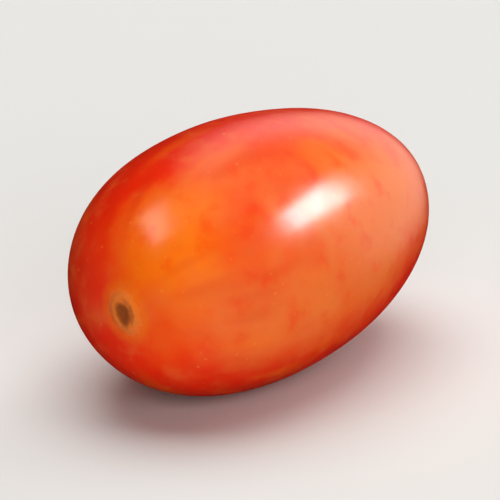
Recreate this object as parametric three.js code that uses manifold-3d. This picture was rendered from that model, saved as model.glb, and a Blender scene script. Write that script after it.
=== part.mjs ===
// A cherry plum tomato as picked, without its green calyx: one solid fruit lying on its side.
// Millimetres, +Z up. The stem scar is at the -X end and the blossom tip at the +X end.
// The origin is on the surface that the fruit lies on, under the middle of its box.

import * as THREE from "three";
import { mergeVertices } from "three/addons/utils/BufferGeometryUtils.js";
import Module from "manifold-3d";

// Driving dimensions.
const LENGTH = 40;
const GIRTH_RADIUS = 11.64;

// The profile's fullness from the stem end (-1) to the blossom end (+1): all zero would be an ellipse.
const EGG = -0.197;
const BLUNTNESS = 0.209;
const SHOULDER = 0.049;

// Cross-section: wider than it is high, with three faint seed chambers.
const OVAL = 0.035;
const OVAL_TURN = THREE.MathUtils.degToRad(-16.7);
const CHAMBERS = 0.014;
const CHAMBERS_TURN = THREE.MathUtils.degToRad(8.2);

// How far the fruit's middle bows off its axis, and how far its stem end hooks off it.
// A higher sharpness keeps the hook nearer to the end.
const BOW = { y: 0.13, z: 0.02 };
const HOOK = { y: -0.55, z: -0.7 };
const HOOK_SHARPNESS = 6;

// How the fruit lies: tipped on its belly, with the stem end up, and pressed flat where it rests.
const REST_TILT = THREE.MathUtils.degToRad(1.7);
const REST_SPOT_DEPTH = 0.2;

// Relief at the two ends, each a bump or hollow about the pole. The stem scar is slightly oval, and its
// long way is turned this far from +Y.
const DIMPLE = { depth: 0.35, radius: 3.4 };
const SCAR_RING = { height: 0.2, radius: 1.15, width: 0.36 };
const SCAR_PIT = { depth: 0.2, radius: 0.75 };
const SCAR_OVAL = 0.14;
const SCAR_TURN = THREE.MathUtils.degToRad(62);
const BLOSSOM_TIP = { height: 0.2, radius: 1.8 };

// Facets round the fruit and along it. Rings crowd towards both poles, where the relief is.
const SIDES = 64;
const RINGS = 52;
const CROWDING = 0.7;

const SKIN_COLOUR = 0xe2441a;

const bell = (distance, width) => Math.exp(-((distance / width) ** 2));

// The angle from the stem pole of a ring that would lie at this angle if the rings were even.
const crowded = (angle) => angle - (CROWDING / 2) * Math.sin(2 * angle);

// A point of the skin, by its angle from the stem pole and its angle round the fruit from +Y.
function skinPoint(fromStem, around) {
  const along = -Math.cos(fromStem);
  const fullness = 1 + EGG * along + BLUNTNESS * along ** 2 + SHOULDER * along ** 3;
  const lobes =
    1 +
    OVAL * Math.cos(2 * (around - OVAL_TURN)) +
    CHAMBERS * Math.cos(3 * (around - CHAMBERS_TURN));
  const radius = GIRTH_RADIUS * Math.sin(fromStem) * Math.sqrt(fullness) * lobes;
  const bowed = 1 - along ** 2;
  const hooked = ((1 - along) / 2) ** HOOK_SHARPNESS;
  const relief = along < 0 ? stemRelief(radius, around) : blossomRelief(radius);
  return new THREE.Vector3(
    (LENGTH / 2) * along + relief,
    radius * Math.cos(around) + BOW.y * bowed + HOOK.y * hooked,
    radius * Math.sin(around) + BOW.z * bowed + HOOK.z * hooked,
  );
}

// How far the skin lies towards +X of the plain profile, at this distance from the stem pole and this
// angle round it.
function stemRelief(distance, around) {
  const fromScar = distance * (1 - SCAR_OVAL * Math.cos(2 * (around - SCAR_TURN)));
  return (
    DIMPLE.depth * bell(distance, DIMPLE.radius) +
    SCAR_PIT.depth * bell(fromScar, SCAR_PIT.radius) -
    SCAR_RING.height * bell(fromScar - SCAR_RING.radius, SCAR_RING.width)
  );
}

// The same at the blossom end, by distance alone: a small blunt tip stands out there.
function blossomRelief(distance) {
  return BLOSSOM_TIP.height * bell(distance, BLOSSOM_TIP.radius);
}

// The whole fruit: a ball with its poles on X, with each vertex moved to its place on the skin.
function fruitGeometry() {
  const ball = new THREE.SphereGeometry(1, SIDES, RINGS).rotateZ(Math.PI / 2);
  const position = ball.getAttribute("position");
  for (let i = 0; i < position.count; i++) {
    const [x, y, z] = [position.getX(i), position.getY(i), position.getZ(i)];
    const fromStem = Math.atan2(Math.hypot(y, z), -x);
    const point = skinPoint(crowded(fromStem), Math.atan2(z, y));
    position.setXYZ(i, point.x, point.y, point.z);
  }
  ball.deleteAttribute("normal");
  ball.deleteAttribute("uv");
  return mergeVertices(ball).rotateY(REST_TILT);
}

// Moves a geometry so that its box is centred over the origin and its lowest point is this far below it.
function settle(geometry, depth) {
  geometry.computeBoundingBox();
  const { min, max } = geometry.boundingBox;
  return geometry.translate(-(min.x + max.x) / 2, -(min.y + max.y) / 2, -min.z - depth);
}

function solidFrom(wasm, geometry) {
  return new wasm.Manifold(
    new wasm.Mesh({
      numProp: 3,
      vertProperties: geometry.getAttribute("position").array,
      triVerts: new Uint32Array(geometry.index.array),
    }),
  );
}

function geometryFrom(solid) {
  const { vertProperties, triVerts } = solid.getMesh();
  const geometry = new THREE.BufferGeometry();
  geometry.setAttribute("position", new THREE.BufferAttribute(vertProperties, 3));
  geometry.setIndex(new THREE.BufferAttribute(triVerts, 1));
  geometry.computeVertexNormals();
  return geometry;
}

// A block whose top is the surface that the fruit lies on: cutting it away leaves the flat rest spot.
function underside() {
  const block = new THREE.BoxGeometry(2 * LENGTH, 2 * LENGTH, LENGTH).translate(0, 0, -LENGTH / 2);
  block.deleteAttribute("normal");
  block.deleteAttribute("uv");
  return mergeVertices(block);
}

const wasm = await Module();
wasm.setup();

const fruit = solidFrom(wasm, settle(fruitGeometry(), REST_SPOT_DEPTH));
const rested = fruit.subtract(solidFrom(wasm, underside()));

const skin = new THREE.MeshStandardMaterial({ color: SKIN_COLOUR, roughness: 0.25, metalness: 0 });
const tomato = new THREE.Mesh(geometryFrom(rested), skin);
tomato.name = "tomato";

const part = new THREE.Group();
part.add(tomato);

export default part;
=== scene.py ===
"""A ripe cherry plum tomato lying on its side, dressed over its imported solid. Metres, +Z up."""
import math
import bpy
import numpy as np
from mathutils import Matrix, Vector, noise


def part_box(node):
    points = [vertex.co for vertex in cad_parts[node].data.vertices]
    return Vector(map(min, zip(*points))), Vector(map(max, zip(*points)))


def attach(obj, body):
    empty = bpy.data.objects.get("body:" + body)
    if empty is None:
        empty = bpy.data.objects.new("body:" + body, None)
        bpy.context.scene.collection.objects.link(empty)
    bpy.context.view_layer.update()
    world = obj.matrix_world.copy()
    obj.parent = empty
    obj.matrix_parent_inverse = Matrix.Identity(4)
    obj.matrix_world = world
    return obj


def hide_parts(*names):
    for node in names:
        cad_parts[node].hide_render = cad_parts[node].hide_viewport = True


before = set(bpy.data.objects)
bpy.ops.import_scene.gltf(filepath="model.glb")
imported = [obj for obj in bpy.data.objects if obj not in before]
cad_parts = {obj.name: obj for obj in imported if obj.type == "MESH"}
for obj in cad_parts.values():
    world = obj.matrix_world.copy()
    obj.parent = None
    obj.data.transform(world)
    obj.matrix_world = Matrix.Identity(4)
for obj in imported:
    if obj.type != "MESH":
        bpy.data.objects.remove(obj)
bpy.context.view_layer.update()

MM = 0.001

# The fruit's own form, in millimetres, as its solid has it: a profile from the stem end to the blossom end.
LENGTH = 40.0
GIRTH_RADIUS = 11.64
EGG = -0.197
BLUNTNESS = 0.209
SHOULDER = 0.049

# Cross-section: wider than it is high, with three faint seed chambers.
OVAL = 0.035
OVAL_TURN = math.radians(-16.7)
CHAMBERS = 0.014
CHAMBERS_TURN = math.radians(8.2)

# How far the middle bows off the axis, and how far the stem end hooks off it, along Y and Z.
BOW = (0.13, 0.02)
HOOK = (-0.55, -0.7)
HOOK_SHARPNESS = 6

# How the fruit lies: tipped on its belly, with the stem end up. It turns softly into its flat spot, over
# about this many millimetres.
REST_TILT = math.radians(1.7)
REST_EDGE = 0.05

# Relief at the two ends, about the poles. The stem scar is slightly oval, and its long way is turned this
# far from +Y.
DIMPLE_DEPTH, DIMPLE_RADIUS = 0.35, 3.4
SCAR_RING_HEIGHT, SCAR_RING_RADIUS, SCAR_RING_WIDTH = 0.2, 1.15, 0.36
SCAR_PIT_DEPTH, SCAR_PIT_RADIUS = 0.2, 0.75
SCAR_OVAL, SCAR_TURN = 0.14, math.radians(62)
TIP_HEIGHT, TIP_RADIUS = 0.2, 1.8

# Fine relief that the solid leaves out: cracks and corky grain in the scar, a tiny corky point at the blossom
# tip, and gentle unevenness of the skin. The cracks run outward, and reach this far both ways from a middle
# at this radius. A smaller width makes them sharper.
SCAR_CRACKS = 7
SCAR_CRACK_DEPTH, SCAR_CRACK_WIDTH = 0.07, 0.25
SCAR_CRACK_RADIUS, SCAR_CRACK_REACH = 0.9, 0.45
BLOSSOM_SCAR_HEIGHT, BLOSSOM_SCAR_RADIUS = 0.09, 0.42
CORK_GRAIN, CORK_GRAIN_SIZE = 0.05, 0.35
STEM_CORK_RADIUS = 1.3
TIP_CORK_RADIUS, TIP_CORK_SHARE = 0.5, 0.6
UNEVENNESS, UNEVENNESS_SIZE = 0.05, 7.0
GRAIN_SHIFT = Vector((17.3, 5.1, 9.7))

# Vertices round the fruit and along it. Rings crowd towards both poles, where the relief is.
SIDES = 256
RINGS = 220
CROWDING = 0.7


def bell(distance, width):
    return np.exp(-((distance / width) ** 2))


def grain(points, size, seed):
    """Smooth noise of about -1 to 1 at each point, with features of this size. Each seed shifts it."""
    return np.array([noise.noise(Vector(point) / size + GRAIN_SHIFT * seed) for point in points])


def stem_relief(distance, around):
    """How far the skin lies towards +X of the plain profile, at this distance from the stem pole and this
    angle round it."""
    from_scar = distance * (1 - SCAR_OVAL * np.cos(2 * (around - SCAR_TURN)))
    cracks = bell(np.cos(SCAR_CRACKS * around / 2), SCAR_CRACK_WIDTH)
    cracks = cracks * bell(from_scar - SCAR_CRACK_RADIUS, SCAR_CRACK_REACH)
    return (
        DIMPLE_DEPTH * bell(distance, DIMPLE_RADIUS)
        + SCAR_PIT_DEPTH * bell(from_scar, SCAR_PIT_RADIUS)
        - SCAR_RING_HEIGHT * bell(from_scar - SCAR_RING_RADIUS, SCAR_RING_WIDTH)
        + SCAR_CRACK_DEPTH * cracks
    )


def blossom_relief(distance):
    """The same at the blossom end, by distance alone: a small blunt tip with a corky point."""
    return TIP_HEIGHT * bell(distance, TIP_RADIUS) + BLOSSOM_SCAR_HEIGHT * bell(distance, BLOSSOM_SCAR_RADIUS)


def skin_points(from_stem, around):
    """Points of the skin in millimetres, by angle from the stem pole and angle round the fruit from +Y."""
    along = -np.cos(from_stem)
    fullness = 1 + EGG * along + BLUNTNESS * along**2 + SHOULDER * along**3
    lobes = 1 + OVAL * np.cos(2 * (around - OVAL_TURN)) + CHAMBERS * np.cos(3 * (around - CHAMBERS_TURN))
    radius = GIRTH_RADIUS * np.sin(from_stem) * np.sqrt(fullness) * lobes
    bowed = 1 - along**2
    hooked = ((1 - along) / 2) ** HOOK_SHARPNESS
    relief = np.where(along < 0, stem_relief(radius, around), blossom_relief(radius))
    x = LENGTH / 2 * along + relief
    y = radius * np.cos(around) + BOW[0] * bowed + HOOK[0] * hooked
    z = radius * np.sin(around) + BOW[1] * bowed + HOOK[1] * hooked
    sine, cosine = math.sin(REST_TILT), math.cos(REST_TILT)
    return np.stack([x * cosine + z * sine, y, z * cosine - x * sine], axis=-1)


def poles():
    """The skin's points at the stem end and at the blossom tip."""
    return skin_points(np.array([0.0, math.pi]), np.zeros(2))


def fruit_vertices():
    """The rings of points from the stem end to the tip, then the two poles, and the faces that join them."""
    even = np.linspace(0, math.pi, RINGS + 1)[1:-1]
    from_stem = even - CROWDING / 2 * np.sin(2 * even)
    around = np.linspace(0, 2 * math.pi, SIDES, endpoint=False)
    rings = skin_points(from_stem[:, None], around[None, :]).reshape(-1, 3)
    points = np.concatenate([rings, poles()])

    stem, blossom = len(points) - 2, len(points) - 1
    last = (RINGS - 2) * SIDES
    faces = []
    for side in range(SIDES):
        beside = (side + 1) % SIDES
        faces.append((stem, beside, side))
        faces.append((blossom, last + side, last + beside))
        for ring in range(RINGS - 2):
            here, there = ring * SIDES, (ring + 1) * SIDES
            faces.append((here + side, here + beside, there + beside, there + side))
    return points, faces


def roughened(points):
    """The points with the skin's gentle unevenness and the cork's grain."""
    middle = np.array([0.0, *BOW])
    outward = points - middle
    outward /= np.linalg.norm(outward, axis=1, keepdims=True)
    stem_pole, blossom_pole = poles()
    from_scar = np.linalg.norm(points - stem_pole, axis=1)
    from_tip = np.linalg.norm(points - blossom_pole, axis=1)
    corky = bell(from_scar, STEM_CORK_RADIUS) + TIP_CORK_SHARE * bell(from_tip, TIP_CORK_RADIUS)
    swell = UNEVENNESS * grain(points, UNEVENNESS_SIZE, seed=1)
    rough = CORK_GRAIN * corky * grain(points, CORK_GRAIN_SIZE, seed=2)
    return points + outward * (swell + rough)[:, None]


def rested(points, low, high):
    """The points moved into this box and pressed flat where they meet the surface, and how far they moved."""
    least, most = points.min(axis=0), points.max(axis=0)
    middle = (least + most) / 2
    shift = (low + high) / 2 - middle
    within = np.minimum((high - low) / (most - least), 1)
    # Along Z only the top is matched, because the bottom is pressed flat.
    shift[2] = high[2] - most[2]
    within[2] = 1
    moved = middle + (points - middle) * within + shift
    moved[:, 2] = REST_EDGE * np.logaddexp(0, moved[:, 2] / REST_EDGE)
    moved[:, 2] -= moved[:, 2].min()
    return moved, shift


def make_fruit():
    """The fruit over its solid, and where its own middle lies, in millimetres."""
    low, high = (np.array(corner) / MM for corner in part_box("tomato"))
    points, faces = fruit_vertices()
    points, shift = rested(roughened(points), low, high)
    mesh = bpy.data.meshes.new("tomato_fruit")
    mesh.from_pydata([tuple(point) for point in points * MM], [], faces)
    mesh.validate()
    mesh.shade_smooth()
    fruit = bpy.data.objects.new("tomato_fruit", mesh)
    bpy.context.scene.collection.objects.link(fruit)
    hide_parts("tomato")
    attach(fruit, "root")
    return fruit, shift


class Nodes:
    """Short ways to add and link the nodes of one material or world."""

    def __init__(self, owner):
        owner.use_nodes = True
        self.tree = owner.node_tree
        self.tree.nodes.clear()

    def add(self, kind, inputs=(), **settings):
        """A node with these settings. inputs maps a socket's name or number to a value or another socket."""
        node = self.tree.nodes.new(kind)
        for name, value in settings.items():
            setattr(node, name, value)
        for key, value in dict(inputs).items():
            socket = node.inputs[key]
            if isinstance(value, bpy.types.NodeSocket):
                self.tree.links.new(value, socket)
            else:
                socket.default_value = value
        return node

    def math(self, operation, a, b, clamp=False):
        return self.add("ShaderNodeMath", {0: a, 1: b}, operation=operation, use_clamp=clamp).outputs[0]

    def plus(self, a, b, clamp=False):
        return self.math("ADD", a, b, clamp)

    def minus(self, a, b):
        return self.math("SUBTRACT", a, b)

    def times(self, a, b):
        return self.math("MULTIPLY", a, b)

    def larger(self, a, b):
        return self.math("MAXIMUM", a, b)

    def vector(self, operation, a, b=(0.0, 0.0, 0.0)):
        node = self.add("ShaderNodeVectorMath", {0: a, 1: b}, operation=operation)
        return node.outputs["Value" if operation in {"DISTANCE", "DOT_PRODUCT", "LENGTH"} else "Vector"]

    def scaled(self, vector, factor):
        return self.vector("MULTIPLY", vector, (factor, factor, factor))

    def ramp(self, value, span, low=0.0, high=1.0):
        """Smoothly from low where the value is the span's first to high where it is its second."""
        node = self.add(
            "ShaderNodeMapRange",
            {"Value": value, "From Min": span[0], "From Max": span[1], "To Min": low, "To Max": high},
            interpolation_type="SMOOTHSTEP",
        )
        return node.outputs["Result"]

    def noise(self, vector, scale, detail, roughness=0.5):
        node = self.add(
            "ShaderNodeTexNoise",
            {"Vector": vector, "Scale": scale, "Detail": detail, "Roughness": roughness},
        )
        return node.outputs["Fac"]

    def blend(self, amount, under, over):
        """The colour over, laid on the colour under by this amount."""
        node = self.add("ShaderNodeMix", {0: amount, 6: under, 7: over}, data_type="RGBA")
        return node.outputs[2]


# Colours of the skin and its scars, as linear red, green and blue.
RIPE_RED = (0.82, 0.022, 0.002, 1)
RIPE_ORANGE = (0.92, 0.19, 0.004, 1)
SALMON = (0.85, 0.180, 0.030, 1)
DEEP_RED = (0.66, 0.016, 0.002, 1)
HALO = (0.88, 0.24, 0.010, 1)
FLECK = (0.92, 0.26, 0.04, 1)
CORK_TAN = (0.70, 0.165, 0.014, 1)
CORK_BROWN = (0.22, 0.044, 0.001, 1)

# Below, a span says where something starts to show and where it shows in full, by its distance in
# millimetres or by the value of a noise. Most of a noise's values lie in this range.
NOISE_RANGE = (0.3, 0.7)

# The paler cheek faces this way, and its span is measured out from the fruit's middle. Mottling makes it
# uneven.
CHEEK_DIRECTION = Vector((-0.10, -0.85, 0.40)).normalized()
CHEEK_SPAN = (4.0, 12.0)
MOTTLE_NOISE = {"scale": 0.11, "detail": 3}
MOTTLE_STRENGTH = 0.25

# Patches of colour: centre and radius in millimetres, colour and its amount. Most are where the skin has
# coloured unevenly, and the salmon one on the front flank is partly paler skin and partly painted sheen.
# Their edges wander by up to half of PATCH_WANDER either way, and show between these shares of the radius.
PATCH_WANDER = 5.0
PATCH_WANDER_NOISE = {"scale": 0.25, "detail": 3}
PATCH_EDGE = (1.4, 0.4)
PATCHES = [
    ((-17.2, -3.2, 6.0), 5.5, RIPE_ORANGE, 0.85),
    ((-18.8, -4.0, 0.5), 4.5, RIPE_ORANGE, 0.4),
    ((-18.3, 4.5, 2.8), 4.5, RIPE_RED, 0.6),
    ((-12.4, -8.4, 6.2), 3.6, RIPE_RED, 0.45),
    ((-4.2, -5.6, 10.0), 6.0, RIPE_RED, 0.3),
    ((-8.0, -10.4, 4.6), 2.5, RIPE_RED, 0.25),
    ((-0.2, -7.2, 9.4), 2.4, RIPE_ORANGE, 0.4),
    ((-13.5, -9.0, -2.0), 4.5, SALMON, 0.5),
    # Partly paler skin and partly painted sheen: it lightens the front flank where a dim glow of light shows.
    ((1.5, -11.0, 1.0), 5.5, SALMON, 0.7),
]

# Streaks run along the fruit near both ends. They fade away from each end and stay clear of its scar. Their
# closeness is how many stand side by side, and their drift how soon they change along the fruit.
STREAK_NOISE = {"scale": 2.0, "detail": 1, "roughness": 0.4}
STREAK_CLOSENESS = 2.0
STREAK_DRIFT = 0.05
STEM_STREAKS_FADE, STEM_STREAKS_CLEAR = (30.0, 10.0), (3.0, 10.0)
TIP_STREAKS_FADE, TIP_STREAKS_CLEAR = (10.0, 3.0), (0.8, 4.0)
TIP_STREAKS_STRENGTH = 0.5
PALE_STREAK_SPAN, PALE_STREAK_AMOUNT = (0.48, 0.75), 0.4
DARK_STREAK_SPAN, DARK_STREAK_AMOUNT = (0.5, 0.25), 0.35

# The flesh shows through the skin, redder in some places and paler in others.
FLESH_NOISE = {"scale": 0.45, "detail": 3, "roughness": 0.55}
RED_FLESH_SPAN, RED_FLESH_AMOUNT = (0.5, 0.25), 0.35
PALE_FLESH_SPAN, PALE_FLESH_AMOUNT = (0.5, 0.8), 0.28

# Small pale flecks, one to a cell. Their size and edge are in cells.
FLECK_CELLS_PER_MM = 0.85
FLECK_SIZE = 0.13
FLECK_EDGE = (0.05, -0.04)
FLECK_AMOUNT = 0.35

# The stem scar: a yellowish halo, a tan corky ring and a dark corky core. The edges are ragged.
RAGGED_NOISE = {"scale": 1.6, "detail": 4}
RAGGED_REACH = 0.9
HALO_SPAN, HALO_AMOUNT = (3.0, 1.7), 0.4
CORK_SPAN, CORK_AMOUNT = (1.9, 1.2), 0.75
CORE_SPAN, CORE_AMOUNT = (1.05, 0.5), 0.95
CORE_RAGGEDNESS = 0.6

# How far the dark core is off the scar's middle, along X, along the scar's long way and across it, in
# millimetres, and how much longer it is than the scar's own oval.
CORE_OFFSET = (0.0, -0.05, -0.3)
CORE_STRETCH = 1.2

# The blossom scar: a small brown point in a faint halo.
TIP_HALO_SPAN, TIP_HALO_AMOUNT = (2.2, 0.5), 0.5
TIP_CORK_SPAN = (0.55, 0.35)
TIP_RAGGEDNESS = 0.5

# Gloss: waxy skin of uneven roughness, to which dry cork adds. Fine relief: a faint orange-peel of the skin
# and the grain of the cork, both as multiples of the relief's depth in millimetres.
WAX_NOISE = {"scale": 0.45, "detail": 3}
WAX_ROUGHNESS = (0.20, 0.27)
CORK_ROUGHNESS = 0.5
PEEL_NOISE = {"scale": 1.8, "detail": 2}
PEEL_HEIGHT = 0.6
CORK_NOISE = {"scale": 6.0, "detail": 4}
CORK_HEIGHT = 6.0
RELIEF_DEPTH = 0.02
RELIEF_STRENGTH = 0.35

# Light that enters the skin: how much of it, how far its red, green and blue reach, and the scale of that
# reach in millimetres. Cork lets none in.
INNER_LIGHT = 0.6
INNER_LIGHT_REACH = (1.0, 0.3, 0.12)
INNER_LIGHT_SCALE = 2.2
SKIN_IOR = 1.45


def scar_distances(n, place):
    """How far the skin is from the stem scar's middle, from its core's middle and from the blossom tip."""
    stem_pole, blossom_pole = poles()
    off_scar = n.add(
        "ShaderNodeVectorRotate",
        {"Vector": n.vector("SUBTRACT", place, tuple(stem_pole)), "Angle": -SCAR_TURN},
        rotation_type="X_AXIS",
    ).outputs["Vector"]
    scar_shape = (1, 1 - SCAR_OVAL, 1 + SCAR_OVAL)
    core_shape = (1, scar_shape[1] / CORE_STRETCH, scar_shape[2] * CORE_STRETCH)
    off_core = n.vector("SUBTRACT", off_scar, CORE_OFFSET)
    from_scar = n.vector("LENGTH", n.vector("MULTIPLY", off_scar, scar_shape))
    from_core = n.vector("LENGTH", n.vector("MULTIPLY", off_core, core_shape))
    from_tip = n.vector("DISTANCE", place, tuple(blossom_pole))
    return from_scar, from_core, from_tip


def patched(n, place):
    """Red skin with its paler cheek and its patches."""
    outward = n.vector("DOT_PRODUCT", place, tuple(CHEEK_DIRECTION))
    mottle = n.ramp(n.noise(place, **MOTTLE_NOISE), NOISE_RANGE, low=-MOTTLE_STRENGTH, high=MOTTLE_STRENGTH)
    paleness = n.plus(n.ramp(outward, CHEEK_SPAN), mottle, clamp=True)
    colour = n.blend(paleness, RIPE_RED, SALMON)
    wander = n.times(n.minus(n.noise(place, **PATCH_WANDER_NOISE), 0.5), PATCH_WANDER)
    for centre, radius, tint, amount in PATCHES:
        distance = n.plus(n.vector("DISTANCE", place, centre), wander)
        span = [radius * edge for edge in PATCH_EDGE]
        colour = n.blend(n.ramp(distance, span, high=amount), colour, tint)
    return colour


def streaked(n, place, colour, from_scar, from_tip):
    """The colour with pale and dark streaks near both ends."""
    across = n.vector("NORMALIZE", n.vector("MULTIPLY", place, (0, 1, 1)))
    along = n.vector("MULTIPLY", place, (STREAK_DRIFT, 0, 0))
    streaks = n.noise(n.vector("ADD", n.scaled(across, STREAK_CLOSENESS), along), **STREAK_NOISE)
    near_stem = n.times(n.ramp(from_scar, STEM_STREAKS_FADE), n.ramp(from_scar, STEM_STREAKS_CLEAR))
    clear_of_tip = n.ramp(from_tip, TIP_STREAKS_CLEAR, high=TIP_STREAKS_STRENGTH)
    near_tip = n.times(n.ramp(from_tip, TIP_STREAKS_FADE), clear_of_tip)
    near_ends = n.larger(near_stem, near_tip)
    pale = n.times(n.times(n.ramp(streaks, PALE_STREAK_SPAN), near_ends), PALE_STREAK_AMOUNT)
    dark = n.times(n.ramp(streaks, DARK_STREAK_SPAN), n.times(near_ends, DARK_STREAK_AMOUNT))
    colour = n.blend(pale, colour, RIPE_ORANGE)
    return n.blend(dark, colour, DEEP_RED)


def flecked(n, place, colour):
    """The colour with the flesh under it and small pale flecks."""
    flesh = n.noise(place, **FLESH_NOISE)
    colour = n.blend(n.ramp(flesh, RED_FLESH_SPAN, high=RED_FLESH_AMOUNT), colour, RIPE_RED)
    colour = n.blend(n.ramp(flesh, PALE_FLESH_SPAN, high=PALE_FLESH_AMOUNT), colour, SALMON)
    cells = n.add("ShaderNodeTexVoronoi", {"Vector": place, "Scale": FLECK_CELLS_PER_MM, "Randomness": 1.0})
    chance = n.add("ShaderNodeSeparateColor", {0: cells.outputs["Color"]}).outputs[0]
    size = n.times(chance, FLECK_SIZE)
    fleck = n.ramp(n.minus(cells.outputs["Distance"], size), FLECK_EDGE)
    return n.blend(n.times(fleck, FLECK_AMOUNT), colour, FLECK)


def scarred(n, place, colour, from_scar, from_core, from_tip):
    """The colour with the stem scar and the blossom scar, and how corky the skin is, from 0 to 1."""
    ragged = n.times(n.minus(n.noise(place, **RAGGED_NOISE), 0.5), RAGGED_REACH)
    scar_edge = n.plus(from_scar, ragged)
    core_edge = n.plus(from_core, n.times(ragged, CORE_RAGGEDNESS))
    cork = n.ramp(scar_edge, CORK_SPAN)
    colour = n.blend(n.ramp(scar_edge, HALO_SPAN, high=HALO_AMOUNT), colour, HALO)
    colour = n.blend(n.times(cork, CORK_AMOUNT), colour, CORK_TAN)
    colour = n.blend(n.ramp(core_edge, CORE_SPAN, high=CORE_AMOUNT), colour, CORK_BROWN)

    tip_edge = n.plus(from_tip, n.times(ragged, TIP_RAGGEDNESS))
    tip_cork = n.ramp(tip_edge, TIP_CORK_SPAN)
    colour = n.blend(n.ramp(tip_edge, TIP_HALO_SPAN, high=TIP_HALO_AMOUNT), colour, HALO)
    colour = n.blend(tip_cork, colour, CORK_BROWN)
    return colour, n.larger(cork, tip_cork)


def skin_material(shift):
    """Glossy ripe skin, for a fruit whose own middle lies at shift, in millimetres."""
    material = bpy.data.materials.new("tomato_skin")
    n = Nodes(material)
    place = n.add("ShaderNodeTexCoord").outputs["Object"]
    place = n.vector("SUBTRACT", n.scaled(place, 1 / MM), tuple(shift))
    from_scar, from_core, from_tip = scar_distances(n, place)
    colour = streaked(n, place, patched(n, place), from_scar, from_tip)
    colour = flecked(n, place, colour)
    colour, corky = scarred(n, place, colour, from_scar, from_core, from_tip)

    gloss = n.ramp(n.noise(place, **WAX_NOISE), NOISE_RANGE, *WAX_ROUGHNESS)
    peel = n.times(n.noise(place, **PEEL_NOISE), PEEL_HEIGHT)
    cork_relief = n.times(n.noise(place, **CORK_NOISE), n.times(corky, CORK_HEIGHT))
    relief = n.add(
        "ShaderNodeBump",
        {"Height": n.plus(peel, cork_relief), "Strength": RELIEF_STRENGTH, "Distance": RELIEF_DEPTH * MM},
    )
    shader = n.add(
        "ShaderNodeBsdfPrincipled",
        {
            "Base Color": colour,
            "Roughness": n.plus(gloss, n.times(corky, CORK_ROUGHNESS)),
            "Normal": relief.outputs["Normal"],
            "IOR": SKIN_IOR,
            "Subsurface Weight": n.minus(INNER_LIGHT, n.times(corky, INNER_LIGHT)),
            "Subsurface Radius": INNER_LIGHT_REACH,
            "Subsurface Scale": INNER_LIGHT_SCALE * MM,
        },
    )
    n.add("ShaderNodeOutputMaterial", {"Surface": shader.outputs["BSDF"]})
    return material


# The floor's width in metres, and its colour.
FLOOR_WIDTH = 6.0
FLOOR_COLOUR = (0.69, 0.68, 0.66, 1)


def floor_material():
    material = bpy.data.materials.new("floor")
    n = Nodes(material)
    shader = n.add("ShaderNodeBsdfDiffuse", {"Color": FLOOR_COLOUR})
    n.add("ShaderNodeOutputMaterial", {"Surface": shader.outputs["BSDF"]})
    return material


def make_floor():
    """A plain pale matt surface that the fruit lies on. It doesn't show in the skin's gloss."""
    bpy.ops.mesh.primitive_plane_add(size=FLOOR_WIDTH)
    floor = bpy.context.object
    floor.name = "floor"
    floor.data.materials.append(floor_material())
    floor.visible_glossy = False


def towards(azimuth, elevation):
    """The direction from the fruit to a camera or light at this azimuth and elevation, in degrees."""
    a, e = math.radians(azimuth), math.radians(elevation)
    return Vector((math.sin(a) * math.cos(e), -math.cos(a) * math.cos(e), math.sin(e)))


# The camera looks down a little on the stem end, from the front left and at arm's length. The fruit's middle
# shows at this pixel of a frame 500 pixels wide, at this many pixels to the millimetre.
CAMERA_BACK = towards(-54.8, 20.0)
CAMERA_DISTANCE = 0.7
CAMERA_CLIP = (0.01, 10.0)
FRAME_PIXELS = 500
FRUIT_PIXEL = (255.0, 244.4)
PIXELS_PER_MM = 11.75
SENSOR_WIDTH = 36.0


def make_camera(middle):
    right = Vector((0, 0, 1)).cross(CAMERA_BACK).normalized()
    up = CAMERA_BACK.cross(right)
    half = FRAME_PIXELS / 2
    aside = (FRUIT_PIXEL[0] - half) / PIXELS_PER_MM * MM
    above = (half - FRUIT_PIXEL[1]) / PIXELS_PER_MM * MM
    camera = bpy.data.objects.new("camera", bpy.data.cameras.new("camera"))
    camera.data.sensor_width = SENSOR_WIDTH
    camera.data.lens = PIXELS_PER_MM / MM * CAMERA_DISTANCE * SENSOR_WIDTH / FRAME_PIXELS
    camera.data.clip_start, camera.data.clip_end = CAMERA_CLIP
    camera.location = middle + CAMERA_BACK * CAMERA_DISTANCE - right * aside - up * above
    camera.rotation_euler = (-CAMERA_BACK).to_track_quat("-Z", "Y").to_euler()
    bpy.context.scene.collection.objects.link(camera)
    bpy.context.scene.camera = camera


# Soft lights that face the fruit from this many metres away: the way to each, the lengths of its level and
# its upright side in metres, its radiance, and how far it is turned from level, in degrees. The windows show
# only in the gloss, and the others only brighten the colours.
PANEL_DISTANCE = 1.3
WINDOWS = {
    "window": (towards(47.0, 28.3), (0.69, 0.37), 21.5, -15.0),
    "skylight": (towards(-141.0, 55.0), (0.82, 0.36), 4.2, 0.0),
}
LIGHTS = {
    "front": (towards(-43.0, 20.0), (1.2, 0.9), 3.6, 0.0),
    "side": (towards(75.0, 20.0), (1.2, 0.9), 1.6, 0.0),
    "above": (towards(120.0, 80.0), (1.4, 1.4), 3.1, 0.0),
}


def make_panel(name, middle, mirrored, back, size, radiance, turn):
    """One of the lights above. A mirrored one shows only in the gloss."""
    light = bpy.data.lights.new(name, "AREA")
    light.shape = "RECTANGLE"
    light.size, light.size_y = size
    light.energy = radiance * math.pi * size[0] * size[1]
    panel = bpy.data.objects.new(name, light)
    level = Vector((0, 0, 1)).cross(back).normalized()
    facing = Matrix((level, back.cross(level), back)).transposed()
    turned = facing @ Matrix.Rotation(math.radians(turn), 3, "Z")
    panel.matrix_world = Matrix.Translation(middle + back * PANEL_DISTANCE) @ turned.to_4x4()
    panel.visible_camera = False
    panel.visible_glossy = mirrored
    panel.visible_diffuse = not mirrored
    bpy.context.scene.collection.objects.link(panel)


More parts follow.
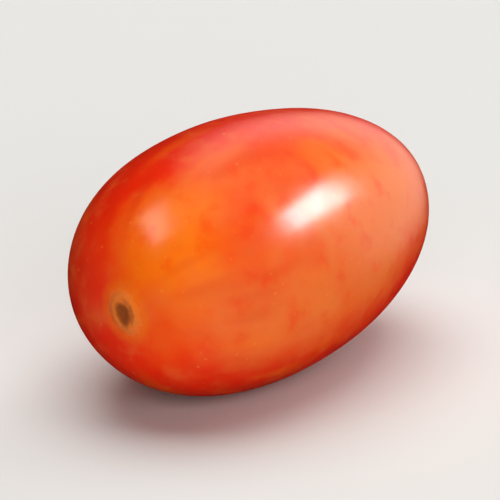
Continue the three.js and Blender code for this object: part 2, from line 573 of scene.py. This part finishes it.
# The room's light as the skin mirrors it: a bright arch on the right and beyond the fruit, round a dimmer
# opening. Each span of cosines is where the arch's outer edge, its inner edge or its ends start to show and
# show in full. Its top fades over a span of heights, and it narrows towards it.
ARCH_MIDDLE = towards(69.0, 47.0)
ARCH_OUTER = (0.36, 0.60)
ARCH_INNER = (0.91, 0.72)
ARCH_NARROWING = 0.24
ARCH_SIDE = towards(110.0, 20.0)
ARCH_ENDS = (0.25, 0.6)
ARCH_TOP = (0.98, 0.74)
ARCH_RADIANCE = 1.1
OPENING_RADIANCE = 0.1
ROOM_RADIANCE = 0.01
ROOM_COLOUR = (1.0, 0.94, 0.85, 1)


def make_room():
    """The world: the arch, fading softly into a dim room."""
    world = bpy.data.worlds.new("room")
    n = Nodes(world)
    direction = n.add("ShaderNodeTexCoord").outputs["Generated"]
    height = n.add("ShaderNodeSeparateXYZ", {0: direction}).outputs["Z"]
    nearness = n.vector("DOT_PRODUCT", direction, tuple(ARCH_MIDDLE))
    sideways = n.vector("DOT_PRODUCT", direction, tuple(ARCH_SIDE))
    narrowed = n.minus(nearness, n.times(height, ARCH_NARROWING))
    within = n.times(n.ramp(narrowed, ARCH_OUTER), n.ramp(height, ARCH_TOP))
    within = n.times(within, n.ramp(sideways, ARCH_ENDS))
    brightness = n.ramp(nearness, ARCH_INNER, low=OPENING_RADIANCE, high=ARCH_RADIANCE)
    radiance = n.plus(n.times(within, brightness), ROOM_RADIANCE)
    room = n.add("ShaderNodeBackground", {"Color": ROOM_COLOUR, "Strength": radiance})
    n.add("ShaderNodeOutputWorld", {"Surface": room.outputs["Background"]})
    bpy.context.scene.world = world


def make_studio(middle):
    """A plain pale floor in soft light from the front, the side and above, in a room that the gloss shows."""
    make_floor()
    for name, panel in WINDOWS.items():
        make_panel(name, middle, True, *panel)
    for name, panel in LIGHTS.items():
        make_panel(name, middle, False, *panel)
    make_room()
    bpy.context.scene.view_settings.view_transform = "Standard"


fruit, shift = make_fruit()
fruit.data.materials.append(skin_material(shift))
fruit_middle = Vector(tuple(shift * MM))
make_camera(fruit_middle)
make_studio(fruit_middle)
